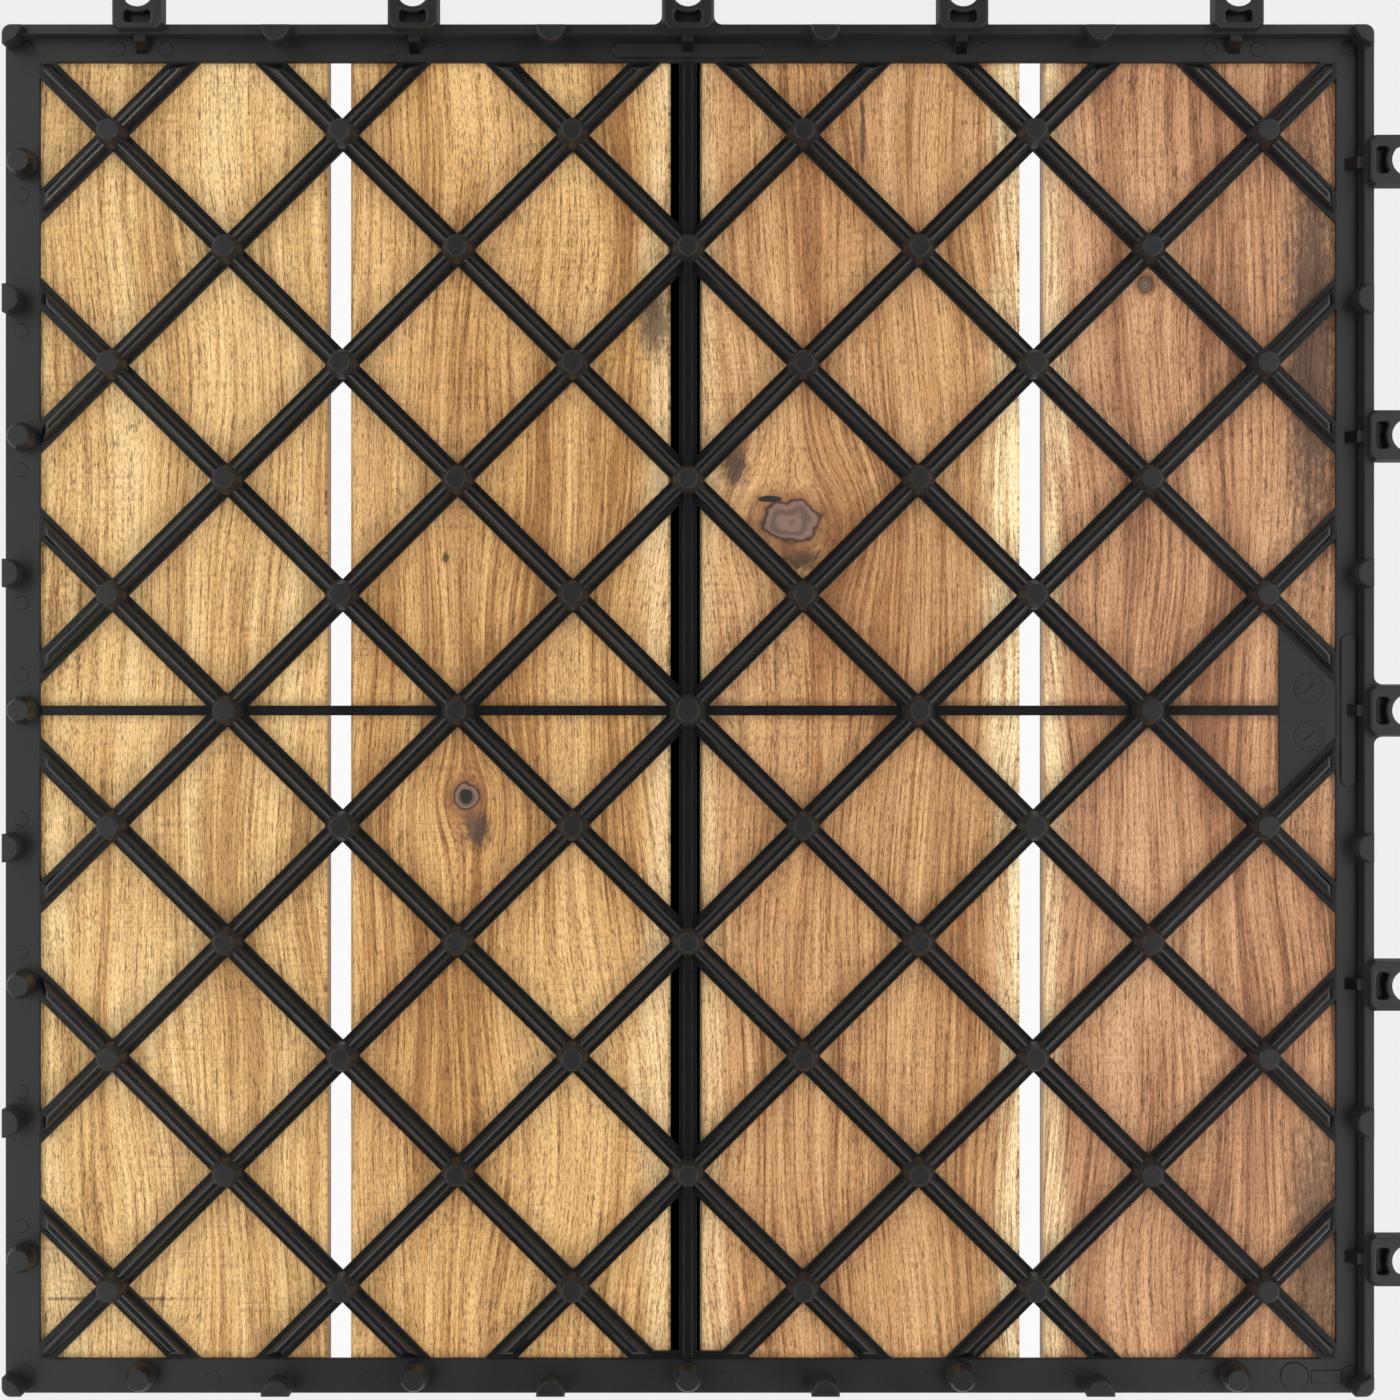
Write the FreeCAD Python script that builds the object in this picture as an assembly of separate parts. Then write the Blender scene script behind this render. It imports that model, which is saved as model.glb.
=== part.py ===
import FreeCAD, Part
import math
import os

# Interlocking deck tile, laid with its deck face down and its moulded underside up.
# Lengths are in millimetres. The model is drawn about the middle of the tile's square
# and moved at the end, so that the origin is the middle of the outline on the deck face.

# Overall square and the stack from the deck face (z = 0) up to the feet
tile_side = 300.0
tile_gap = 3.0
corner_radius = 2.0
slat_thickness = 12.5
flange_thickness = 2.0
grid_height = 11.5

# Wooden slats, running along Y, with the gaps between them from -X to +X
slat_gaps = (5.25, 6.5, 5.3)
slat_west_inset = 0.1
slat_east_inset = 1.25
slat_end_inset = 0.5
deck_edge_radius = 1.5
back_edge_bevel = 0.5

# Rim, the flat band round the grid
rim_width = 7.5
rim_wall_thickness = 2.3
rim_wall_height = 5.5
rim_wall_draft = 0.2

# Lattice of crossed ribs with a foot on each crossing
feet_per_row = 6
first_foot_inset = 23.4
rib_flange_width = 5.0
rib_web_width = 2.9
rib_web_top_width = 2.2
rib_web_height = 3.7
rib_end_gap = 0.5
rib_end_ramp = 1.0
foot_sides = 12
foot_base_radius = 3.6
foot_tip_radius = 2.4
middle_foot_base_radius = 4.1
middle_foot_tip_radius = 2.75

# Straight ribs through the middle
long_rib_flange_width = 3.9
long_rib_web_width = 2.1
long_rib_web_top_width = 1.8
long_rib_web_height = 2.4
thin_rib_width = 2.15

# Plate between two ribs and the rim, and the strip that closes the opposite corner of the grid
plate_thickness = 1.6
plate_inner_inset = 20.0
strip_length = 22.0
strip_width = 1.6

# Feet along the edges and a quarter-round one in each corner, cut off just inside the tile's outline
edge_foot_radius = 3.2
edge_foot_inset = 0.9
corner_foot_radius = 4.8
edge_foot_recess = 0.5

# Snap tabs on two sides, and the pegs on the other two that drop into a neighbour's tabs
tabs_per_side = 5
tab_width = 11.5
tab_draft = 0.35
tab_overlap = 1.7
tab_corner_bevel = 1.3
tab_nose_sides = 8
tab_clearance = 0.3
tab_root_reach = 2.5
tab_root_bevel = 0.5
tab_hole_radius = 3.5
peg_clearance = 0.4
peg_inset = 3.9
peg_tip_radius = 2.3
peg_shank_height = 5.0
peg_height = 8.5
slot_length = 5.8
slot_width = 2.7
slot_floor_thickness = 1.2
slot_corner_bevel = 0.5
slot_to_hole_wall = 1.25
slot_wrap = 0.55
gusset_width = 2.5
gusset_length = 3.4
gusset_height = 4.5
gusset_top_length = 1.2
root_fillet_radius = 1.75

# Raised pads on the rim beside the two middle tabs
pad_length = 33.4
pad_width = 3.2
pad_height = 0.8
pad_inset = 4.9
pad_end_bevel = 1.1

# Hexagonal pins on the wood side of the grid, pressed into blind holes in the slats
pin_sides = 6
pin_radius = 2.0
pin_length = 7.5
pin_hole_clearance = 0.05
pin_end_clearance = 0.5

# Sizes that follow from the ones above
half_side = tile_side / 2
rim_inner = half_side - rim_width
web_end = rim_inner - rib_end_gap
flange_top = slat_thickness + flange_thickness
root_level = slat_thickness + flange_thickness / 2
feet_top = slat_thickness + grid_height
foot_pitch = (tile_side - 2 * first_foot_inset) / (feet_per_row - 1)
slat_count = len(slat_gaps) + 1
slat_width = (tile_side - slat_west_inset - slat_east_inset - sum(slat_gaps)) / slat_count
tab_pitch = tile_side / tabs_per_side
peg_radius = tab_hole_radius - peg_clearance
peg_centre = half_side - peg_inset
tab_hole_centre = tile_side + tile_gap - peg_centre
tab_reach = tab_hole_centre + tab_width / 2 - half_side
tab_bottom = flange_top + rib_web_height + tab_clearance
outline_middle = tab_reach / 2

UP = FreeCAD.Vector(0, 0, 1)
ORIGIN = FreeCAD.Vector(0, 0, 0)


def vector(x, y, z=0.0):
    return FreeCAD.Vector(x, y, z)


def row(count, pitch):
    """Places of a row of equal steps, centred on zero."""
    return [(i - (count - 1) / 2) * pitch for i in range(count)]


def prism(points, z_low, z_high):
    """Upright solid over a closed outline of straight sides."""
    wire = Part.makePolygon([vector(x, y, z_low) for x, y in points + points[:1]])
    return Part.Face(wire).extrude(UP * (z_high - z_low))


def square(half):
    return [(-half, -half), (half, -half), (half, half), (-half, half)]


def polygon(x, y, radius, sides):
    """Corners of a regular polygon, the first one on the tile's diagonal."""
    angles = [math.pi / 4 + 2 * math.pi * i / sides for i in range(sides)]
    return [(x + radius * math.cos(a), y + radius * math.sin(a)) for a in angles]


def bevelled(x_low, x_high, y_low, y_high, bevel):
    """Corners of a rectangle with its corners cut off."""
    return [
        (x_low + bevel, y_low),
        (x_high - bevel, y_low),
        (x_high, y_low + bevel),
        (x_high, y_high - bevel),
        (x_high - bevel, y_high),
        (x_low + bevel, y_high),
        (x_low, y_high - bevel),
        (x_low, y_low + bevel),
    ]


def frustum(low, high, z_low, z_high):
    """Solid between two outlines with equally many corners, closed by flat sides."""
    bottom = [vector(x, y, z_low) for x, y in low]
    top = [vector(x, y, z_high) for x, y in high]
    sides = [[bottom[i - 1], bottom[i], top[i], top[i - 1]] for i in range(len(low))]
    faces = [Part.Face(Part.makePolygon(points + points[:1])) for points in [bottom, top] + sides]
    return Part.Solid(Part.Shell(faces))


def post(x, y, base_radius, tip_radius):
    """Upright post from inside the flange to the level of the feet, round but for its few flat sides."""
    low = polygon(x, y, base_radius, foot_sides)
    high = polygon(x, y, tip_radius, foot_sides)
    return frustum(low, high, root_level, feet_top)


def bar_along_x(profile, x_low, x_high):
    """Bar along X whose section is a list of (y, z) points."""
    wire = Part.makePolygon([vector(x_low, y, z) for y, z in profile + profile[:1]])
    return Part.Face(wire).extrude(vector(x_high - x_low, 0))


def rounded_outline(x_low, x_high, y_low, y_high, radius, z):
    """Closed wire of a rectangle with round corners."""
    k = radius * (1 - math.sqrt(0.5))
    west, east = x_low + radius, x_high - radius
    south, north = y_low + radius, y_high - radius
    corners = [
        ((east, y_low), (x_high - k, y_low + k), (x_high, south)),
        ((x_high, north), (x_high - k, y_high - k), (east, y_high)),
        ((west, y_high), (x_low + k, y_high - k), (x_low, north)),
        ((x_low, south), (x_low + k, y_low + k), (west, y_low)),
    ]
    edges = []
    for i, (start, middle, end) in enumerate(corners):
        following = corners[(i + 1) % len(corners)][0]
        edges.append(Part.Arc(vector(*start, z), vector(*middle, z), vector(*end, z)).toShape())
        if math.dist(end, following) > 1e-6:
            edges.append(Part.LineSegment(vector(*end, z), vector(*following, z)).toShape())
    return Part.Wire(edges)


def fuse(shapes):
    return shapes[0].multiFuse(shapes[1:]) if len(shapes) > 1 else shapes[0]


def turned(shape, degrees):
    """A copy turned about the tile's upright middle axis."""
    copy = shape.copy()
    copy.rotate(ORIGIN, UP, degrees)
    return copy


def shifted(shape, x, y):
    copy = shape.copy()
    copy.translate(vector(x, y))
    return copy


def tile_block(half, z_low, z_high):
    """The tile's square with its rounded corners, as a solid."""
    wire = rounded_outline(-half, half, -half, half, corner_radius, z_low)
    return Part.Face(wire).extrude(UP * (z_high - z_low))


def lattice(bar):
    """Copies of a bar along X, laid in both diagonal directions through every crossing."""
    lines = 2 * feet_per_row - 1
    spacing = foot_pitch / math.sqrt(2)
    bars = []
    for angle in (45, -45):
        for offset in row(lines, spacing):
            bars.append(turned(shifted(bar, 0, offset), angle))
    return fuse(bars)


def crossings():
    """Middle of every foot of the lattice: an outer grid of rows and a finer one between them."""
    places = [(x, y) for x in row(feet_per_row, foot_pitch) for y in row(feet_per_row, foot_pitch)]
    between = row(feet_per_row - 1, foot_pitch)
    return places + [(x, y) for x in between for y in between]


def web_profile(base_width, top_width, height):
    """Section of the raised part of a rib, with drafted sides."""
    base, top, crest = base_width / 2, top_width / 2, flange_top + height
    return [(-base, root_level), (base, root_level), (top, crest), (-top, crest)]


def flange_profile(width):
    """Section of the low, wide part of a rib, which lies on the wood."""
    w = width / 2
    return [(-w, slat_thickness), (w, slat_thickness), (w, flange_top), (-w, flange_top)]


def rib_flanges():
    """Flanges of the crossed ribs, up to halfway across the rim."""
    grid = lattice(bar_along_x(flange_profile(rib_flange_width), -tile_side, tile_side))
    inside = square(half_side - rim_width / 2)
    return grid.common(prism(inside, slat_thickness, flange_top))


def rib_webs():
    """The raised part of the crossed ribs, which ends in a short ramp just before the rim."""
    profile = web_profile(rib_web_width, rib_web_top_width, rib_web_height)
    grid = lattice(bar_along_x(profile, -tile_side, tile_side))
    crest = flange_top + rib_web_height
    slope = rib_end_ramp / rib_web_height
    low_half = web_end + slope * (flange_top - root_level)
    high_half = web_end - rib_end_ramp
    return grid.common(frustum(square(low_half), square(high_half), root_level, crest))


def feet():
    """A tapered foot on every crossing, the middle one larger."""
    posts = []
    for x, y in crossings():
        if math.hypot(x, y) < foot_pitch / 4:
            posts.append(post(x, y, middle_foot_base_radius, middle_foot_tip_radius))
        else:
            posts.append(post(x, y, foot_base_radius, foot_tip_radius))
    return posts


def rim():
    """Flat band round the tile, with an upright wall on the two sides that carry the tabs."""
    opening = prism(square(rim_inner), slat_thickness, flange_top)
    band = tile_block(half_side, slat_thickness, flange_top).cut(opening)
    wall_top = flange_top + rim_wall_height
    inside = half_side - rim_wall_thickness
    profile = [
        (inside, root_level),
        (half_side, root_level),
        (half_side, wall_top),
        (inside + rim_wall_draft, wall_top),
    ]
    wall = bar_along_x(profile, -half_side, half_side)
    walls = wall.fuse(turned(wall, -90)).common(tile_block(half_side, slat_thickness, wall_top))
    return band.fuse(walls)


def straight_ribs():
    """The long rib in front of the middle gap between slats, and the thin one across it."""
    reach = half_side - rim_width / 2
    flange = bar_along_x(flange_profile(long_rib_flange_width), -reach, reach)
    profile = web_profile(long_rib_web_width, long_rib_web_top_width, long_rib_web_height)
    web = bar_along_x(profile, -web_end, web_end)
    thin = bar_along_x(flange_profile(thin_rib_width), -reach, half_side - plate_inner_inset)
    return [turned(flange, 90), turned(web, 90), thin]


def plate_and_strip():
    """Thin plate in the middle cell beside the +X rim, and a strip that widens the -Y rim."""
    rib_line = feet_per_row / 2 * foot_pitch
    west, east = half_side - plate_inner_inset, half_side - rim_width / 2
    outline = [(west, west - rib_line), (east, east - rib_line), (east, rib_line - east), (west, rib_line - west)]
    plate = prism(outline, slat_thickness, slat_thickness + plate_thickness)
    strip = bar_along_x(flange_profile(2 * strip_width), -strip_length / 2, strip_length / 2)
    return [plate, shifted(strip, 0, -rim_inner)]


def edge_feet():
    """Upright feet on the rim, cut off just inside the outline of the tile."""
    edge = half_side - edge_foot_inset
    posts = []
    for step in row(tabs_per_side - 1, tab_pitch):
        for x, y in ((step, edge), (step, -edge), (edge, step), (-edge, step)):
            posts.append(post(x, y, edge_foot_radius, edge_foot_radius))
    for x, y in square(half_side):
        posts.append(post(x, y, corner_foot_radius, corner_foot_radius))
    return fuse(posts).common(tile_block(half_side - edge_foot_recess, root_level, feet_top))


def tab_outline(half):
    """Outline of a tab on the +X side: bevelled inner corners and a nose round the hole in a few flat sides."""
    inner = half_side - tab_overlap + tab_width / 2 - half
    angles = [math.pi * (i / tab_nose_sides - 0.5) for i in range(tab_nose_sides + 1)]
    nose = [(tab_hole_centre + half * math.cos(a), half * math.sin(a)) for a in angles]
    bevel = tab_corner_bevel
    return nose + [(inner + bevel, half), (inner, half - bevel), (inner, bevel - half), (inner + bevel, -half)]


def tab():
    """Snap tab: a drafted block with a peg hole and a blind slot, on a root that joins it to the rim.

    The block lies just above the ribs, so it clears the rib ends of a neighbour. The slot leaves
    a thin wall beside the hole, which gives when the neighbour's peg is pushed in.
    """
    half = tab_width / 2
    root_half = half - 2 * tab_draft
    inside_wall = half_side - rim_wall_thickness / 2
    outline = bevelled(inside_wall, half_side + tab_root_reach, -root_half, root_half, tab_root_bevel)
    root = prism(outline, flange_top, tab_bottom + tab_clearance)
    block = frustum(tab_outline(half), tab_outline(half - tab_draft), tab_bottom, feet_top)
    body = block.fuse(root)
    below = vector(tab_hole_centre, 0, slat_thickness)
    hole = Part.makeCylinder(tab_hole_radius, 2 * grid_height, below)
    thin_wall = Part.makeCylinder(tab_hole_radius + slot_to_hole_wall, 2 * grid_height, below)
    slot_floor = tab_bottom + slot_floor_thickness
    slot_end = tab_hole_centre - tab_hole_radius - slot_to_hole_wall + slot_wrap
    outline = bevelled(slot_end - slot_width, slot_end, -slot_length / 2, slot_length / 2, slot_corner_bevel)
    slot = prism(outline, slot_floor, 2 * feet_top)
    return body.cut(hole).cut(slot.cut(thin_wall))


def gusset():
    """Short rib that ties the rim to its wall behind a tab."""
    wall_face = half_side - rim_wall_thickness
    inside_wall = half_side - rim_wall_thickness / 2
    crest = flange_top + gusset_height
    profile = [
        (inside_wall, root_level),
        (wall_face - gusset_length, root_level),
        (wall_face - gusset_length, flange_top),
        (wall_face - gusset_top_length, crest),
        (inside_wall, crest),
    ]
    return turned(bar_along_x(profile, -gusset_width / 2, gusset_width / 2), -90)


def root_fillets():
    """Concave fillets on both sides of the middle tab, where it leaves the rim wall."""
    r = root_fillet_radius
    half = tab_width / 2
    inside_wall = half_side - rim_wall_thickness / 2
    inside_tab = half - 2 * tab_draft
    outline = [
        (inside_wall, inside_tab),
        (half_side + r, inside_tab),
        (half_side + r, half + r),
        (inside_wall, half + r),
    ]
    block = prism(outline, tab_bottom, flange_top + rim_wall_height)
    hollow = Part.makeCylinder(r, grid_height, vector(half_side + r, half + r, slat_thickness))
    fillet = block.cut(hollow)
    return [fillet, fillet.mirror(ORIGIN, vector(0, 1))]


def pad():
    """Raised pad on the rim beside the middle tab."""
    x, w, l = half_side - pad_inset, pad_width / 2, pad_length / 2
    outline = bevelled(x - w, x + w, -l, l, pad_end_bevel)
    return prism(outline, root_level, flange_top + pad_height)


def peg():
    """Peg on the -X side, which drops into the tab hole of a neighbour."""
    shoulder = flange_top + peg_shank_height
    shank = Part.makeCylinder(peg_radius, shoulder - root_level, vector(-peg_centre, 0, root_level))
    low = polygon(-peg_centre, 0, peg_radius, foot_sides)
    high = polygon(-peg_centre, 0, peg_tip_radius, foot_sides)
    return shank.fuse(frustum(low, high, shoulder, flange_top + peg_height))


def joining_features():
    """What joins tiles: tabs on the +X and +Y sides, pegs on the -X and -Y sides."""
    side = root_fillets() + [pad()]
    for solid in (tab(), gusset(), peg()):
        side += [shifted(solid, 0, step) for step in row(tabs_per_side, tab_pitch)]
    return side + [turned(solid, 90) for solid in side]


def slat_middle(index):
    """Place of a slat's middle line across the tile."""
    west_edge = slat_west_inset - half_side + index * slat_width + sum(slat_gaps[:index])
    return west_edge + slat_width / 2


def pin_places(index):
    """The end crossings that lie nearest to a slat's middle line."""
    middle = slat_middle(index)
    x = min(row(feet_per_row, foot_pitch), key=lambda place: abs(place - middle))
    y = row(feet_per_row, foot_pitch)[-1]
    return [(x, -y), (x, y)]


def pins():
    pin = prism(polygon(0, 0, pin_radius, pin_sides), slat_thickness - pin_length, slat_thickness)
    return [shifted(pin, x, y) for index in range(slat_count) for x, y in pin_places(index)]


def base_grid():
    """The whole plastic base, one moulding."""
    pieces = [rim(), rib_flanges(), rib_webs(), edge_feet()] + straight_ribs() + plate_and_strip()
    return fuse(pieces + feet() + joining_features() + pins()).removeSplitter()


def slat_section():
    """Section of a slat across its length: rounded deck edges below, bevelled back edges above."""
    w, t = slat_width / 2, slat_thickness
    r, b = deck_edge_radius, back_edge_bevel
    k = r * (1 - math.sqrt(0.5))
    corners = [(w, r), (w, t - b), (w - b, t), (b - w, t), (-w, t - b), (-w, r)]
    back = Part.makePolygon([vector(x, 0, z) for x, z in corners])
    left = Part.Arc(vector(-w, 0, r), vector(k - w, 0, k), vector(r - w, 0, 0)).toShape()
    deck = Part.makeLine(vector(r - w, 0, 0), vector(w - r, 0, 0))
    right = Part.Arc(vector(w - r, 0, 0), vector(w - k, 0, k), vector(w, 0, r)).toShape()
    return Part.Wire(back.Edges + [left, deck, right])


def slat(index):
    """One wooden slat, with a blind hole for each pin of the base."""
    length = tile_side - 2 * slat_end_inset
    board = Part.Face(slat_section()).extrude(vector(0, length))
    board.translate(vector(slat_middle(index), -length / 2))
    hole_end = slat_thickness - pin_length - pin_end_clearance
    for x, y in pin_places(index):
        outline = polygon(x, y, pin_radius + pin_hole_clearance, pin_sides)
        board = board.cut(prism(outline, hole_end, slat_thickness))
    return board


def write(name, shape):
    """Moves a piece into the part's own frame and writes it."""
    piece = shifted(shape.Solids[0], -outline_middle, -outline_middle)
    piece.exportStep(os.path.join("parts", name + ".step"))
    box = piece.BoundBox
    print(name, "solids", len(shape.Solids), "valid", piece.isValid(), "volume %.1f" % piece.Volume)
    print("  x %.2f %.2f  y %.2f %.2f  z %.2f %.2f" % (box.XMin, box.XMax, box.YMin, box.YMax, box.ZMin, box.ZMax))


os.makedirs("parts", exist_ok=True)
write("base_grid", base_grid())
for number in range(slat_count):
    write("slat_%d" % (number + 1), slat(number))
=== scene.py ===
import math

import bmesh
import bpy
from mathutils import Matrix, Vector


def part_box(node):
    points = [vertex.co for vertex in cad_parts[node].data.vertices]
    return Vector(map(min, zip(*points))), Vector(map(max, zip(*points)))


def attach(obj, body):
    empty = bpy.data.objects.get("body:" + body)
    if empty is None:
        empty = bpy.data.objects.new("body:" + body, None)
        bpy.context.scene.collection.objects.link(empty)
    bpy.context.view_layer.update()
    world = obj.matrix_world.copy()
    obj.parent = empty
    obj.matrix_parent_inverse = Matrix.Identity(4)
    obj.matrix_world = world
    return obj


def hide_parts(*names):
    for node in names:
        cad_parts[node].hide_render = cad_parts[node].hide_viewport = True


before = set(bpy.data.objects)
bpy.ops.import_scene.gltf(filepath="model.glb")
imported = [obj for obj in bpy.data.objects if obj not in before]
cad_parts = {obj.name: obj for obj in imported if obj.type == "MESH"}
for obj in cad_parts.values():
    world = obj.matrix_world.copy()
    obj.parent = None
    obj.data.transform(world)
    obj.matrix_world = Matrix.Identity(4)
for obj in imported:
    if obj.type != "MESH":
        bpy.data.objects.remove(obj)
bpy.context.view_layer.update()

# %% [markdown]
# ## An interlocking deck tile, seen from below
# The tile lies on its wooden deck face, with the black moulded grid and its feet upwards.
# The construction is loaded as a fixed frame, so this lesson only dresses it: it softens the
# moulding's edges, adds the small marks of the mould and the finish of plastic and wood, and
# sets the floor, the light and a camera.

MM = 0.001
grid_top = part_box("base_grid")[1].z
slats = [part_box("slat_%d" % n) for n in range(1, 5)]
slat_back = slats[0][1].z
# The slats reach equally far past the tile's centre, which lies as far along x as along y.
centre = (slats[0][0].y + slats[0][1].y) / 2
middle = Vector((centre, centre, 0))
print("tile centre %.5f %.5f, wood %.4f thick, feet at %.4f" % (*middle.xy, slat_back, grid_top))

# %% [markdown]
# The moulding rests on the wood's back in three steps: the thin plate, the flanges with the
# rim, and the ribs' crests. Marks and finishes follow these heights, given in millimetres.

# %% Find the moulding's heights
plate_thickness, flange_thickness, rib_height = 1.6, 2.0, 3.7
plate_top = slat_back / MM + plate_thickness
rim_top = slat_back / MM + flange_thickness
crest = rim_top + rib_height
rim_inner = 142.5
print("plate %.1f, rim %.1f, crests %.1f mm above the floor" % (plate_top, rim_top, crest))

# %% [markdown]
# Colours are written as the hex values that a screen shows. Blender's shaders work in linear
# light, so one function turns each hex value into linear red, green and blue.

# %% Turn hex colours into linear ones
def colour(hex_value):
    """Linear red, green, blue and alpha of an sRGB hex value such as '#8a5a32'."""
    parts = [int(hex_value[i:i + 2], 16) / 255 for i in (1, 3, 5)]
    linear = [c / 12.92 if c <= 0.04045 else ((c + 0.055) / 1.055) ** 2.4 for c in parts]
    return (*linear, 1.0)


print("pale sapwood in linear light", [round(c, 3) for c in colour("#dcbf8c")])

# %% [markdown]
# A material is a tree of nodes. The helper below adds one node, sets its options, fills its
# inputs with numbers or with other nodes' outputs, and gives back the output to use next.
# Two kinds come up again and again with the same options: a mix, which turns one colour (6)
# towards another (7) by a share (0), and a soft step, which makes such a share from a measure.

# %% Add one node
SOFT_STEP = dict(interpolation_type="SMOOTHSTEP")
MIX_COLOURS = dict(output=2, data_type="RGBA")


def add(tree, kind, inputs=None, output=0, **settings):
    """Adds a node with its settings, and links or fills its inputs by name or number."""
    node = tree.nodes.new("ShaderNode" + kind)
    for name, value in settings.items():
        setattr(node, name, value)
    for key, value in (inputs or {}).items():
        if isinstance(value, bpy.types.NodeSocket):
            tree.links.new(value, node.inputs[key])
        else:
            node.inputs[key].default_value = value
    return node.outputs[output]


def new_material(name):
    """An empty material, its node tree and its surface shader."""
    material = bpy.data.materials.new(name)
    material.use_nodes = True
    return material, material.node_tree, material.node_tree.nodes["Principled BSDF"]


# %% [markdown]
# Every pattern on the tile is laid out in millimetres from the tile's centre. That keeps a
# pore or a knot at its real size, and lets a mask name the place where the photograph shows it.

# %% Measure in millimetres from the tile's centre
def millimetres(tree):
    """Position on the tile in millimetres from its centre."""
    place = add(tree, "TexCoord", output="Object")
    inputs = {0: place, 1: (1 / MM,) * 3, 2: tuple(-c / MM for c in middle)}
    return add(tree, "VectorMath", inputs, operation="MULTIPLY_ADD")


def spot_distance(tree, place, x, y, half_width, half_length):
    """Distance from a spot, which is 1 at the spot's edge."""
    offset = add(tree, "VectorMath", {0: place, 1: (x, y, 0.0)}, operation="SUBTRACT")
    shrink = (1 / half_width, 1 / half_length, 0.0)
    scaled = add(tree, "VectorMath", {0: offset, 1: shrink}, operation="MULTIPLY")
    return add(tree, "VectorMath", {0: scaled}, output="Value", operation="LENGTH")


# %% [markdown]
# ## Acacia
# Grain is stretched noise: the noise that makes clouds makes wood when it is drawn out along
# the board. It is read on a slanted sheet, x plus height against length, so that the lines
# run on down a board's sides. Near a knot they are pushed aside, and part and close again.

# %% Bend and stretch the grain
def sheet(tree, place, seed):
    """Position on a slanted sheet through the board: across it, along it, moved by a seed."""
    slant = {0: place, 1: (1.0, 0.0, 1.0)}
    across = add(tree, "VectorMath", slant, output="Value", operation="DOT_PRODUCT")
    along = add(tree, "SeparateXYZ", {0: place}, output=1)
    flat = add(tree, "CombineXYZ", {0: across, 1: along})
    shift = (37.0 * seed, 411.0 * seed, 0.0)
    return add(tree, "VectorMath", {0: flat, 1: shift}, operation="ADD")


def grain_noise(tree, grain, width, length, detail=1.0, roughness=0.6):
    """Noise whose lumps are about width mm across the grain and length mm along it."""
    squeeze = (1 / width, 1 / length, 0.0)
    scaled = add(tree, "VectorMath", {0: grain, 1: squeeze}, operation="MULTIPLY")
    inputs = {"Vector": scaled, "Scale": 1.0, "Detail": detail, "Roughness": roughness}
    return add(tree, "TexNoise", inputs, noise_dimensions="2D")


def bent_grain(tree, place, moved, knots):
    """Grain position: it wanders slowly along the board and parts round each knot."""
    wander = grain_noise(tree, moved, 45.0, 110.0)
    shift = add(tree, "Math", {0: wander, 1: 15.0}, operation="MULTIPLY")
    across = add(tree, "SeparateXYZ", {0: place})
    for x, y, half_width, half_length in knots:
        far = spot_distance(tree, place, x, y, 2.4 * half_width, 3.0 * half_length)
        square = add(tree, "Math", {0: far, 1: far}, operation="MULTIPLY")
        fall = add(tree, "Math", {0: square, 1: -1.0}, operation="MULTIPLY")
        near = add(tree, "Math", {0: fall}, operation="EXPONENT")
        side = add(tree, "Math", {0: across, 1: x}, operation="SUBTRACT")
        push = add(tree, "Math", {0: side, 1: near}, operation="MULTIPLY")
        shift = add(tree, "Math", {0: push, 1: -0.8, 2: shift}, operation="MULTIPLY_ADD")
    shift = add(tree, "CombineXYZ", {0: shift})
    return add(tree, "VectorMath", {0: moved, 1: shift}, operation="ADD")


# %% [markdown]
# The growth bands set the main tone. They are the sum of wide bands, thin lines and cloudy
# patches, and a ramp of three tones turns that sum into colour. Pale sapwood follows a
# board's edge in a wavering line.

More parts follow.
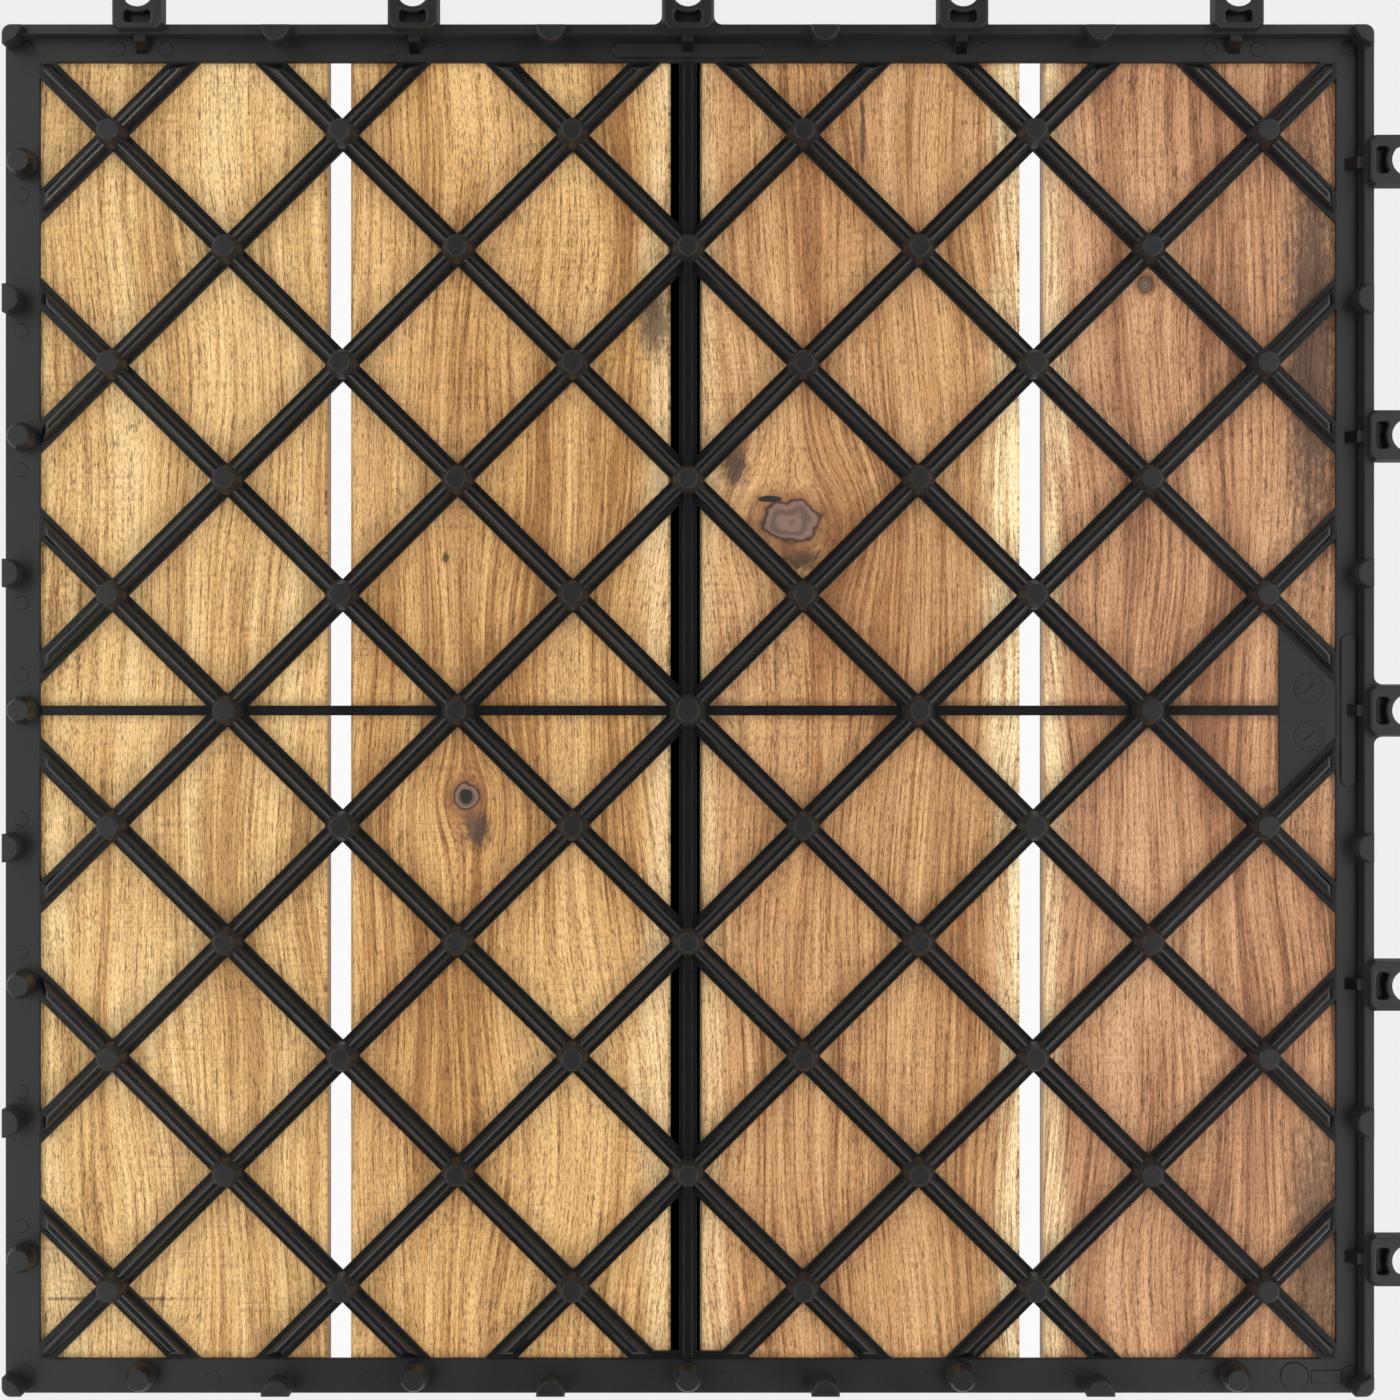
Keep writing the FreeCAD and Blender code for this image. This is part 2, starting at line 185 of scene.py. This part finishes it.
# %% Colour the growth bands
def growth_bands(tree, place, moved, grain, tones, sapwood, streak):
    """Heartwood in three tones with reddish streaks, pale sapwood, and the growth lines."""
    bands = grain_noise(tree, grain, 9.0, 220.0, 2.0)
    lines = grain_noise(tree, grain, 1.0, 45.0, 2.0, 0.75)
    cloud = grain_noise(tree, moved, 30.0, 60.0)
    tone = add(tree, "Math", {0: bands, 1: 1.5, 2: -1.35}, operation="MULTIPLY_ADD")
    tone = add(tree, "Math", {0: lines, 1: 1.4, 2: tone}, operation="MULTIPLY_ADD")
    tone = add(tree, "Math", {0: cloud, 1: 0.8, 2: tone}, operation="MULTIPLY_ADD")
    dark, warm, light = (colour(shade) for shade in tones)
    share = add(tree, "MapRange", {0: tone, 1: 0.1, 2: 0.5}, **SOFT_STEP)
    wood = add(tree, "Mix", {0: share, 6: dark, 7: warm}, **MIX_COLOURS)
    share = add(tree, "MapRange", {0: tone, 1: 0.45, 2: 0.95}, **SOFT_STEP)
    wood = add(tree, "Mix", {0: share, 6: wood, 7: light}, **MIX_COLOURS)
    streaks = grain_noise(tree, grain, 3.5, 130.0)
    red = add(tree, "MapRange", {0: streaks, 1: 0.48, 2: 0.72}, **SOFT_STEP)
    red = add(tree, "Math", {0: red, 1: streak}, operation="MULTIPLY")
    wood = add(tree, "Mix", {0: red, 6: wood, 7: colour("#8f5b38")}, **MIX_COLOURS)
    across = add(tree, "SeparateXYZ", {0: place})
    waver = add(tree, "Math", {0: cloud, 1: 9.0, 2: across}, operation="MULTIPLY_ADD")
    for inner, outer, shade in sapwood:
        # The waver adds 4.5 mm on average, half of its 9 mm, so the mask is moved as far.
        halfway = (inner + outer) / 2
        mask = add(tree, "MapRange", {0: waver, 1: inner + 4.5, 2: halfway + 4.5}, **SOFT_STEP)
        share = add(tree, "MapRange", {0: lines, 1: 0.3, 2: 0.65}, **SOFT_STEP)
        pale = add(tree, "Mix", {0: share, 6: light, 7: colour(shade)}, **MIX_COLOURS)
        wood = add(tree, "Mix", {0: mask, 6: wood, 7: pale}, **MIX_COLOURS)
    return wood, lines


# %% [markdown]
# Acacia has long open pores. Two layers of short dark dashes stand for them, one coarse and
# one fine, drawn a little wider than real so that they show, and crowded into the darker
# growth lines. The saw left thin wavy lines across the grain, clearer in some patches.

# %% Add pores, fibre and saw lines
def pores_and_saw_lines(tree, moved, grain, wood, lines):
    """The colour with its surface detail, and masks of the open and of the fine pores."""
    crowd = add(tree, "Math", {0: lines, 1: -0.35, 2: 0.175}, operation="MULTIPLY_ADD")
    dashes = grain_noise(tree, grain, 0.38, 4.0, 2.0, 0.8)
    dashes = add(tree, "Math", {0: dashes, 1: crowd}, operation="ADD")
    coarse = add(tree, "MapRange", {0: dashes, 1: 0.59, 2: 0.67}, **SOFT_STEP)
    specks = grain_noise(tree, grain, 0.3, 1.2)
    specks = add(tree, "Math", {0: specks, 1: crowd}, operation="ADD")
    fine = add(tree, "MapRange", {0: specks, 1: 0.55, 2: 0.66}, **SOFT_STEP)
    clouds = grain_noise(tree, moved, 24.0, 30.0)
    patch = add(tree, "MapRange", {0: clouds, 1: 0.35, 2: 0.65}, **SOFT_STEP)
    strokes = grain_noise(tree, moved, 14.0, 0.6)
    saw = add(tree, "MapRange", {0: strokes, 1: 0.54, 2: 0.7}, **SOFT_STEP)
    saw = add(tree, "Math", {0: saw, 1: patch}, operation="MULTIPLY")
    layers = ((saw, 0.2, "#6b4526"), (fine, 0.34, "#64401f"), (coarse, 0.62, "#4b2d16"))
    for mask, strength, shade in layers:
        share = add(tree, "Math", {0: mask, 1: strength}, operation="MULTIPLY")
        wood = add(tree, "Mix", {0: share, 6: wood, 7: colour(shade)}, **MIX_COLOURS)
    fibre = add(tree, "MapRange", {0: specks, 1: 0.25, 2: 0.55, 3: 1.2, 4: 0.96})
    wood = add(tree, "VectorMath", {0: wood, "Scale": fibre}, operation="SCALE")
    return wood, coarse, fine


# %% [markdown]
# A knot is the root of a branch, cut across. It is a smooth grey-brown cushion with a dark
# bark line round it, faint rings in it, a brown halo outside and often a black heart. A crack
# in a knot is drawn the same way, black, as painted shade in place of its depth. A stain is
# softer: a ragged, speckled cloud that darkens the wood.

# %% Colour a knot, its heart, a crack's painted shade and a stain
def with_knot(tree, place, lumps, wood, knot):
    """The wood's colour with a knot in it: brown halo, bark line and faintly ringed body."""
    far = spot_distance(tree, place, *knot)
    far = add(tree, "Math", {0: lumps, 1: 0.9, 2: far}, operation="MULTIPLY_ADD")
    halo = add(tree, "MapRange", {0: far, 1: 2.5, 2: 1.2}, **SOFT_STEP)
    wood = add(tree, "Mix", {0: halo, 6: wood, 7: colour("#7b4d2b")}, **MIX_COLOURS)
    bark = add(tree, "MapRange", {0: far, 1: 1.55, 2: 1.4}, **SOFT_STEP)
    wood = add(tree, "Mix", {0: bark, 6: wood, 7: colour("#35261d")}, **MIX_COLOURS)
    wave = add(tree, "Math", {0: far, 1: 11.0}, operation="MULTIPLY")
    wave = add(tree, "Math", {0: wave}, operation="SINE")
    rings = add(tree, "MapRange", {0: wave, 1: -1.6, 2: 1.6}, **SOFT_STEP)
    inputs = {0: rings, 6: colour("#5d4a3f"), 7: colour("#86695a")}
    body = add(tree, "Mix", inputs, **MIX_COLOURS)
    inside = add(tree, "MapRange", {0: far, 1: 1.42, 2: 1.25}, **SOFT_STEP)
    return add(tree, "Mix", {0: inside, 6: wood, 7: body}, **MIX_COLOURS)


def with_black_spot(tree, place, lumps, wood, black_spot):
    """The colour with a black spot laid in a knot: its dark heart, and the painted shade of a
    crack.
    """
    far = spot_distance(tree, place, *black_spot)
    far = add(tree, "Math", {0: lumps, 1: far}, operation="ADD")
    black = add(tree, "MapRange", {0: far, 1: 1.6, 2: 1.3}, **SOFT_STEP)
    return add(tree, "Mix", {0: black, 6: wood, 7: colour("#1d1815")}, **MIX_COLOURS)


def with_stain(tree, place, speckle, wood, stain):
    """The colour with a ragged dark stain of a given strength."""
    *spot, strength = stain
    far = spot_distance(tree, place, *spot)
    far = add(tree, "Math", {0: speckle, 1: 1.2, 2: far}, operation="MULTIPLY_ADD")
    mask = add(tree, "MapRange", {0: far, 1: 1.9, 2: 1.0}, **SOFT_STEP)
    mask = add(tree, "Math", {0: mask, 1: strength}, operation="MULTIPLY")
    return add(tree, "Mix", {0: mask, 6: wood, 7: colour("#3d2c24")}, **MIX_COLOURS)


# %% [markdown]
# One function puts the layers together. The pores are shown by colour and by a fine bump, and
# they make the satin shine a little uneven, which tells the eye that this is open, oiled wood.

# %% Make sawn acacia
def acacia(name, seed, tones, sapwood=(), knots=(), dark_hearts_and_crack_shade=(), stains=(), streak=0.3):
    """Acacia, sawn and lightly oiled: a satin surface broken up by open pores."""
    material, tree, shader = new_material(name)
    place = millimetres(tree)
    moved = sheet(tree, place, seed)
    grain = bent_grain(tree, place, moved, knots)
    wood, lines = growth_bands(tree, place, moved, grain, tones, sapwood, streak)
    wood, coarse, fine = pores_and_saw_lines(tree, moved, grain, wood, lines)
    if stains:
        speckle = grain_noise(tree, grain, 1.0, 2.5, 2.0, 0.75)
        for stain in stains:
            wood = with_stain(tree, place, speckle, wood, stain)
    if knots:
        lumps = grain_noise(tree, moved, 6.0, 6.0, 2.0)
        for knot in knots:
            wood = with_knot(tree, place, lumps, wood, knot)
        # Black spots: a knot's own dark heart, and a crack's depth drawn as painted shade.
        for black_spot in dark_hearts_and_crack_shade:
            wood = with_black_spot(tree, place, lumps, wood, black_spot)
    pore_depth = {"Height": coarse, "Strength": 0.5, "Distance": 0.12 * MM}
    bump = add(tree, "Bump", pore_depth, invert=True)
    rough = add(tree, "MapRange", {0: fine, 3: 0.5, 4: 0.7})
    tree.links.new(wood, shader.inputs["Base Color"])
    tree.links.new(rough, shader.inputs["Roughness"])
    tree.links.new(bump, shader.inputs["Normal"])
    shader.inputs["IOR"].default_value = 1.5
    shader.inputs["Specular IOR Level"].default_value = 0.35
    return material


# %% [markdown]
# The four boards come from different planks. Each has its own tones, sapwood, knots and
# stains. Sapwood runs from a place across the board to another, in a pale shade. A knot or a
# black spot is (x, y, half width, half length), and a stain has a strength as well. The black
# spot on board 2 is a knot's dark heart. On board 3 it is the painted shade of a crack.

# %% Dress the four slats
boards = [
    dict(tones=("#b98d55", "#d8ae71", "#e9c68c"), streak=0.12,
         stains=[(-126.0, -129.6, 18.0, 0.5, 0.7)]),
    dict(tones=("#a5733d", "#cb9b5f", "#deb478"), sapwood=[(-11.5, -2.0, "#e9c996")],
         knots=[(-48.9, -19.0, 2.7, 3.1)], dark_hearts_and_crack_shade=[(-48.9, -18.8, 1.5, 1.8)],
         stains=[(-46.5, -26.0, 3.4, 5.0, 0.85), (-7.3, 86.0, 4.0, 9.0, 0.8),
                 (-53.5, 33.6, 1.0, 1.3, 0.9)]),
    dict(tones=("#a16c3f", "#c3925f", "#d7a974"),
         sapwood=[(9.0, 1.0, "#e6c38e"), (65.0, 75.0, "#f4dba9")],
         # The black spot here is painted shade: the crack in the knot, drawn black in place of
         # its depth.
         knots=[(22.6, 41.6, 6.6, 4.8)], dark_hearts_and_crack_shade=[(18.3, 46.6, 2.6, 0.7)],
         stains=[(10.4, 54.0, 3.2, 5.0, 0.85), (24.7, 33.5, 5.0, 2.6, 0.9),
                 (38.5, 127.0, 0.6, 9.0, 0.8)]),
    dict(tones=("#926344", "#bb8961", "#cf9f75"), sapwood=[(85.0, 76.0, "#eed29f")],
         knots=[(100.7, 93.7, 1.5, 1.7)], streak=0.45,
         stains=[(137.5, 80.0, 6.5, 52.0, 0.8), (138.5, -117.0, 6.5, 30.0, 0.7)]),
]
for number, board in enumerate(boards, start=1):
    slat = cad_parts["slat_%d" % number]
    slat.data.materials.clear()
    wood = acacia("acacia, sawn and oiled, board %d" % number, number, **board)
    slat.data.materials.append(wood)
print("dressed", len(boards), "slats")

# %% [markdown]
# ## Moulded polypropylene
# The grid is black polypropylene from a steel mould. Its ribs came off polished steel and
# shine, while the rim, the plate and the foot ends came off spark-eroded steel, whose fine
# texture scatters light. Steep sides are duller still, so that they don't mirror the wood. A
# bevel node makes every edge shine as if it were rounded, as any moulding's edges are, and
# that draws the thin bright lines along the ribs.

# %% Make the black plastic
def moulded_polypropylene():
    """Black polypropylene, injection moulded: glossy ribs and a duller, paler rim."""
    material, tree, shader = new_material("black polypropylene, injection moulded")
    place = millimetres(tree)
    away = add(tree, "VectorMath", {0: place}, operation="ABSOLUTE")
    x, y, z = (add(tree, "SeparateXYZ", {0: away}, output=axis) for axis in range(3))
    outwards = add(tree, "Math", {0: x, 1: y}, operation="MAXIMUM")
    limits = {1: rim_inner - 0.1, 2: rim_inner + 0.3}
    rim = add(tree, "MapRange", {0: outwards, **limits}, **SOFT_STEP)
    feet = add(tree, "MapRange", {0: z, 1: crest + 0.4, 2: crest + 0.7}, **SOFT_STEP)
    limits = {1: plate_top + 0.3, 2: plate_top + 0.1}
    plate = add(tree, "MapRange", {0: z, **limits}, **SOFT_STEP)
    dull = add(tree, "Math", {0: rim, 1: feet}, operation="MAXIMUM")
    dull = add(tree, "Math", {0: dull, 1: plate}, operation="MAXIMUM")
    facing = add(tree, "NewGeometry", output="Normal")
    upwards = add(tree, "SeparateXYZ", {0: facing}, output=2)
    steep = add(tree, "MapRange", {0: upwards, 1: 0.3, 2: 0.15}, **SOFT_STEP)
    dull = add(tree, "Math", {0: steep, 1: 2.4, 2: dull}, operation="MULTIPLY_ADD")
    rough = add(tree, "MapRange", {0: dull, 3: 0.13, 4: 0.28}, clamp=False)
    cloud = add(tree, "TexNoise", {"Vector": place, "Scale": 0.09, "Detail": 2.0})
    rough = add(tree, "Math", {0: cloud, 1: 0.12, 2: rough}, operation="MULTIPLY_ADD")
    # The mould's grit is about 0.4 mm here, drawn coarser than real so that it shows.
    grit = add(tree, "TexNoise", {"Vector": place, "Scale": 2.5, "Detail": 1.0})
    soft_edge = add(tree, "Bevel", {"Radius": 0.4 * MM}, samples=2)
    relief = {"Height": grit, "Normal": soft_edge, "Strength": 0.12, "Distance": 0.05 * MM}
    bump = add(tree, "Bump", relief)
    shader.inputs["Base Color"].default_value = colour("#0e0f10")
    shader.inputs["IOR"].default_value = 1.49
    tree.links.new(rough, shader.inputs["Roughness"])
    tree.links.new(bump, shader.inputs["Normal"])
    return material


plastic = moulded_polypropylene()
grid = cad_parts["base_grid"]
grid.data.materials.clear()
grid.data.materials.append(plastic)
print("dressed the grid in", plastic.name)

# %% [markdown]
# The construction's edges are sharp, and a moulding's never are. A copy of the grid stands in
# for it here, with the crests of its ribs rounded broadly and the tips of its feet a little. A
# bevel modifier does both in one go, because each edge can carry its own share of the bevel's
# width. The other edges stay as they are, and the bevel node above softens how they shine.

# %% Copy the grid and join up its small flats
NEARLY = 1e-6
longest_flat = 80 * MM
wide_flats = (slat_back, slat_back + flange_thickness * MM)
body = bmesh.new()
body.from_mesh(grid.data)
bmesh.ops.remove_doubles(body, verts=body.verts, dist=NEARLY)


def lies_on(vertices, level):
    """Whether all of these vertices lie at one height."""
    return all(abs(vertex.co.z - level) < NEARLY for vertex in vertices)


def joins(edge):
    """Whether an edge inside a flat may go: on short faces off the wide flats only."""
    corners = [vertex.co for face in edge.link_faces for vertex in face.verts]
    wide = any(lies_on(face.verts, level) for face in edge.link_faces for level in wide_flats)
    return not wide and max((a - b).length for a in corners for b in corners) < longest_flat


free = [v for v in body.verts if not any(lies_on([v], level) for level in wide_flats)]
inner_edges = [edge for edge in body.edges if joins(edge)]
bmesh.ops.dissolve_limit(body, angle_limit=math.radians(0.5), edges=inner_edges, verts=free)
print("joined the copy's flats into", len(body.faces), "faces")

# %% [markdown]
# Each sharp edge on a crest or round a foot's tip now gets its share of the bevel's width.

# %% Round the crests and the tips
crest_round, tip_round = 0.75, 0.35
level_enough = 0.05 * MM
shortest_crest = 2 * MM
share = body.edges.layers.float.new("bevel_weight_edge")
for edge in body.edges:
    heights = [vertex.co.z for vertex in edge.verts]
    on_crest = (all(abs(z - crest * MM) < level_enough for z in heights)
                and edge.calc_length() > shortest_crest)
    on_tip = min(heights) > grid_top - level_enough
    if (on_crest or on_tip) and edge.calc_face_angle_signed() > math.radians(20):
        edge[share] = tip_round / crest_round if on_tip else 1.0
rounded_mesh = bpy.data.meshes.new("base_moulding")
body.to_mesh(rounded_mesh)
body.free()
moulding = bpy.data.objects.new("base_moulding", rounded_mesh)
bpy.context.scene.collection.objects.link(moulding)
bevel = moulding.modifiers.new("rounding", "BEVEL")
bevel.width = crest_round * MM
bevel.segments = 4
bevel.limit_method = "WEIGHT"
bevel.use_clamp_overlap = False
rounded = moulding.evaluated_get(bpy.context.evaluated_depsgraph_get())
moulding.data = bpy.data.meshes.new_from_object(rounded)
moulding.modifiers.clear()
moulding.data.materials.clear()
moulding.data.materials.append(plastic)
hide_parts("base_grid")
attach(moulding, "root")
print("rounded moulding of", len(moulding.data.polygons), "faces")

# %% [markdown]
# ## Marks of the mould
# Steel pins push the moulding out of its mould, and each leaves a round mark on the rim. All
# of these marks are turned shapes, so one function spins a closed section about an upright
# axis, a whole turn for a disc and part of a turn for an arc.

# %% Spin a section
def spin(bm, x, y, section, steps=32, start=0.0, turn=360.0):
    """Spins a closed section of (radius, height) points, in mm, about an upright axis at x, y."""
    whole = turn == 360.0
    rings = []
    for step in range(steps if whole else steps + 1):
        a = math.radians(start + turn * step / steps)
        ring = [middle + Vector((x + r * math.cos(a), y + r * math.sin(a), z)) * MM
                for r, z in section]
        rings.append([bm.verts.new(point) for point in ring])
    pairs = list(zip(rings, rings[1:])) + ([(rings[-1], rings[0])] if whole else [])
    for one, other in pairs:
        for i in range(len(section)):
            j = (i + 1) % len(section)
            bm.faces.new((one[i], other[i], other[j], one[j]))
    if not whole:
        bm.faces.new(rings[0])
        bm.faces.new(rings[-1])


def slab(bm, x, y, length, width, z_low, z_high, angle=0.0):
    """A flat bar, in mm, about x and y, with its top edges drawn in a little."""
    edge = (z_high - z_low) / 2
    turn = Matrix.Rotation(math.radians(angle), 3, "Z")
    corners = []
    for z, inset in ((z_low, 0.0), (z_high, edge)):
        a, b = length / 2 - inset, width / 2 - inset
        for u, v in ((-a, -b), (a, -b), (a, b), (-a, b)):
            point = Vector((x, y, z)) + turn @ Vector((u, v, 0))
            corners.append(bm.verts.new(middle + point * MM))
    low, high = corners[:4], corners[4:]
    for points in [low, high] + [[low[i - 1], low[i], high[i], high[i - 1]] for i in range(4)]:
        bm.faces.new(points)


def finish_marks(bm, name):
    """Turns the collected shapes into one closed, outward-facing object of moulded plastic."""
    bmesh.ops.remove_doubles(bm, verts=bm.verts, dist=1e-7)
    bmesh.ops.dissolve_degenerate(bm, edges=bm.edges, dist=1e-7)
    bmesh.ops.recalc_face_normals(bm, faces=bm.faces)
    mesh = bpy.data.meshes.new(name)
    bm.to_mesh(mesh)
    bm.free()
    mesh.materials.append(plastic)
    marks = bpy.data.objects.new(name, mesh)
    bpy.context.scene.collection.objects.link(marks)
    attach(marks, "root")
    print(name, len(mesh.polygons), "faces")
    return marks


# %% [markdown]
# The marks sit where the photograph shows them: beside each peg and edge foot on two sides,
# in pairs by each tab on the third, and one in every corner. They stand 0.15 mm proud, and
# reach a little way into the rim, so that nothing shows between them and it.

# %% Set the ejector marks on the rim
sunk = 0.1


def disc(bm, x, y, radius, height):
    """A round flat mark on the rim, with a slightly rounded edge."""
    edge = height * 0.6
    base, top = rim_top - sunk, rim_top + height
    section = [(0, base), (radius, base), (radius, top - edge), (radius - edge, top), (0, top)]
    spin(bm, x, y, section)


left_marks = [113.3, 83.6, 52.9, 23.6, 7.8, -23.9, -53.3, -83.9, -113.3]
bottom_marks = [-104.4, -69.7, -23.7, 8.1, 24.0, 53.4, 84.0, 113.7]
top_tabs = [-120.0, -60.0, 0.0, 60.0, 120.0]
places = [(-146.6, y) for y in left_marks] + [(x, -146.7) for x in bottom_marks]
places += [(tab + side, 145.4) for tab in top_tabs for side in (-5.2, 5.2)]
places += [(x, y) for x in (-145.3, 145.3) for y in (-145.5, 145.5)]
marks = bmesh.new()
for x, y in places:
    disc(marks, x, y, 1.6, 0.15)
disc(marks, 133.3, -146.4, 3.2, 0.35)
slab(marks, 140.3, -146.4, 6.8, 3.0, rim_top - sunk, rim_top + 0.3)
finish_marks(marks, "ejector_marks")

# %% [markdown]
# The small plate beside the right-hand rim carries two plain round dials: a ring, a pointer
# and short ticks. Five little arcs lie across the thin rib beside it.

# %% Raise the dials and the arcs
def ring(bm, x, y, radius, width, base, height, start=0.0, turn=360.0, steps=40):
    """A raised ring, or part of one, narrower at its top."""
    edge = height * 0.4
    inside, outside = radius - width / 2, radius + width / 2
    section = [(inside, base - sunk), (outside, base - sunk),
               (outside - edge, base + height), (inside + edge, base + height)]
    spin(bm, x, y, section, steps, start, turn)


dials = bmesh.new()
for x, y, pointer in ((136.6, 4.9, 50.0), (136.6, -5.6, 40.0)):
    ring(dials, x, y, 3.3, 0.25, plate_top, 0.12)
    slab(dials, x, y, 3.4, 0.45, plate_top - sunk, plate_top + 0.2, pointer)
    for angle in range(0, 360, 30):
        a = math.radians(angle)
        slab(dials, x + 2.5 * math.cos(a), y + 2.5 * math.sin(a), 0.8, 0.25,
             plate_top - sunk, plate_top + 0.15, angle)
finish_marks(dials, "plate_dials")
arcs = bmesh.new()
for step in range(5):
    ring(arcs, 120.3 + 2.07 * step, 0.0, 0.85, 0.3, rim_top, 0.15, -80, 160, 10)
finish_marks(arcs, "rib_arcs")

# %% [markdown]
# ## Floor
# A pale matt floor carries the tile. Camera rays see part of it as its own plain white, so
# the background reads as white while the tile's shadow stays. Below the two open gaps the
# floor shows more of its plain white, painted light that clears their shade so that they
# read clean white. Below the deep slot behind the long rib it shows none, and that slot
# keeps its real shade.

# %% Make the white paper
# The floor is whiter below the two open gaps than elsewhere: painted light over their shade.
open_share, painted_light_in_gaps, slot_share = 0.86, 0.96, 0.0
past_edge = 2 * MM


def between(tree, value, low, high):
    """1 between two limits, and 0 outside them."""
    above = add(tree, "Math", {0: value, 1: low}, operation="GREATER_THAN")
    below = add(tree, "Math", {0: value, 1: high}, operation="LESS_THAN")
    return add(tree, "Math", {0: above, 1: below}, operation="MULTIPLY")


def white_floor():
    """Matt white paper that is partly plain white to camera, glossy and transmission rays."""
    material, tree, shader = new_material("white paper, matt")
    shader.inputs["Base Color"].default_value = colour("#f4f4f4")
    shader.inputs["Roughness"].default_value = 0.9
    place = add(tree, "TexCoord", output="Object")
    x, y = (add(tree, "SeparateXYZ", {0: place}, output=axis) for axis in range(2))
    under = between(tree, y, centre - 150 * MM, centre + 150 * MM)
    share = open_share
    # Below the open gaps the share of plain white rises: painted light that clears their shade.
    for index, part in enumerate((painted_light_in_gaps, slot_share, painted_light_in_gaps)):
        left, right = slats[index][1].x - past_edge, slats[index + 1][0].x + past_edge
        mask = add(tree, "Math", {0: between(tree, x, left, right), 1: under},
                   operation="MULTIPLY")
        share = add(tree, "Mix", {0: mask, 2: share, 3: part}, data_type="FLOAT")
    camera, glossy, through = (add(tree, "LightPath", output="Is %s Ray" % kind)
                               for kind in ("Camera", "Glossy", "Transmission"))
    seen = add(tree, "Math", {0: camera, 1: glossy}, operation="MAXIMUM")
    seen = add(tree, "Math", {0: seen, 1: through}, operation="MAXIMUM")
    share = add(tree, "Math", {0: seen, 1: share}, operation="MULTIPLY")
    white = add(tree, "Emission", {"Color": (1.0, 1.0, 1.0, 1.0), "Strength": 1.0})
    shown = add(tree, "MixShader", {0: share, 1: shader.outputs[0], 2: white})
    tree.links.new(shown, tree.nodes["Material Output"].inputs["Surface"])
    return material


# %% [markdown]
# The floor sweeps up into a round wall, as a studio's paper does, so that low views have a
# white background too. It is a ring of points at each height, joined to the one below.

# %% Lay the floor
floor_radius, bend, wall_height, bend_steps, turns = 2.6, 0.6, 2.4, 8, 64
section = []
for step in range(bend_steps + 1):
    a = math.pi / 2 * step / bend_steps
    section.append((floor_radius + bend * math.sin(a), bend * (1 - math.cos(a))))
section.append((floor_radius + bend, wall_height))
angles = [math.tau * k / turns for k in range(turns)]
sweep = bmesh.new()
rings = [[sweep.verts.new((r * math.cos(a), r * math.sin(a), z)) for a in angles]
         for r, z in section]
sweep.faces.new(rings[0])
for low, high in zip(rings, rings[1:]):
    for k in range(turns):
        sweep.faces.new((low[k - 1], low[k], high[k], high[k - 1]))
floor_mesh = bpy.data.meshes.new("floor")
sweep.to_mesh(floor_mesh)
sweep.free()
floor_mesh.shade_smooth()
floor = bpy.data.objects.new("floor", floor_mesh)
bpy.context.scene.collection.objects.link(floor)
floor.data.materials.append(white_floor())
print("floor of", 2 * floor_radius, "m across")

# %% [markdown]
# ## Light
# Black plastic is seen by what it mirrors. Two broad lamps high on the left and right make
# the rim's sheen, and four narrow ones on the diagonals draw lines along the crossed ribs,
# whose rounded edges turn towards them. Straight overhead it is dim, so flat ribs stay dark.

# %% Light the studio
world = bpy.data.worlds.new("studio")
bpy.context.scene.world = world
world.use_nodes = True
sky = world.node_tree.nodes["Background"]
sky.inputs["Color"].default_value = colour("#f2f4f6")
sky.inputs["Strength"].default_value = 0.12
lamp_distance = 1.3


def lamp(name, direction, elevation, length, width, power):
    """A soft lamp, turned to the tile; direction is in degrees round from the right."""
    light = bpy.data.lights.new(name, "AREA")
    light.shape = "RECTANGLE"
    light.size, light.size_y = length, width
    light.energy = power
    a, e = math.radians(direction), math.radians(elevation)
    way = Vector((math.cos(a) * math.cos(e), math.sin(a) * math.cos(e), math.sin(e)))
    along = Vector((-math.sin(a), math.cos(a), 0))
    turn = Matrix((along, way.cross(along), way)).transposed().to_4x4()
    thing = bpy.data.objects.new(name, light)
    thing.matrix_world = Matrix.Translation(middle + way * lamp_distance) @ turn
    bpy.context.scene.collection.objects.link(thing)


lamps = [
    ("left lamp", 180, 61, 1.3, 0.56, 5.6),
    ("right lamp", 0, 61, 1.3, 0.56, 5.6),
    ("front right strip", 315, 45, 1.0, 0.14, 5.4),
    ("front left strip", 225, 45, 1.0, 0.14, 3.2),
    ("back left strip", 135, 45, 1.0, 0.14, 3.6),
    ("back right strip", 45, 45, 1.0, 0.14, 2.6),
]
for settings in lamps:
    lamp(*settings)
print("lit by", len(lamps), "lamps")

# %% [markdown]
# ## Camera
# The photograph looks straight down. The point right below the lens and the scale at the
# floor were measured in it, and they fix the lens and its small shift. One metre was chosen
# for the height, because it fits how far the feet's tips lean outwards.

# %% Set the camera
camera_height = 1.0
picture_side = 1400
pixels_per_metre_at_floor = 4482.8
pixel_below_lens = (688.0, 710.5)
camera_data = bpy.data.cameras.new("camera")
camera_data.sensor_width = 36.0
camera_data.lens = (camera_data.sensor_width * pixels_per_metre_at_floor
                    * camera_height / picture_side)
camera_data.shift_x = (picture_side / 2 - pixel_below_lens[0]) / picture_side
camera_data.shift_y = (pixel_below_lens[1] - picture_side / 2) / picture_side
camera = bpy.data.objects.new("camera", camera_data)
camera.location = middle + Vector((0, 0, camera_height))
bpy.context.scene.collection.objects.link(camera)
bpy.context.scene.camera = camera
bpy.context.scene.view_settings.view_transform = "Standard"
print("lens %.1f mm, shift %.4f %.4f"
      % (camera_data.lens, camera_data.shift_x, camera_data.shift_y))
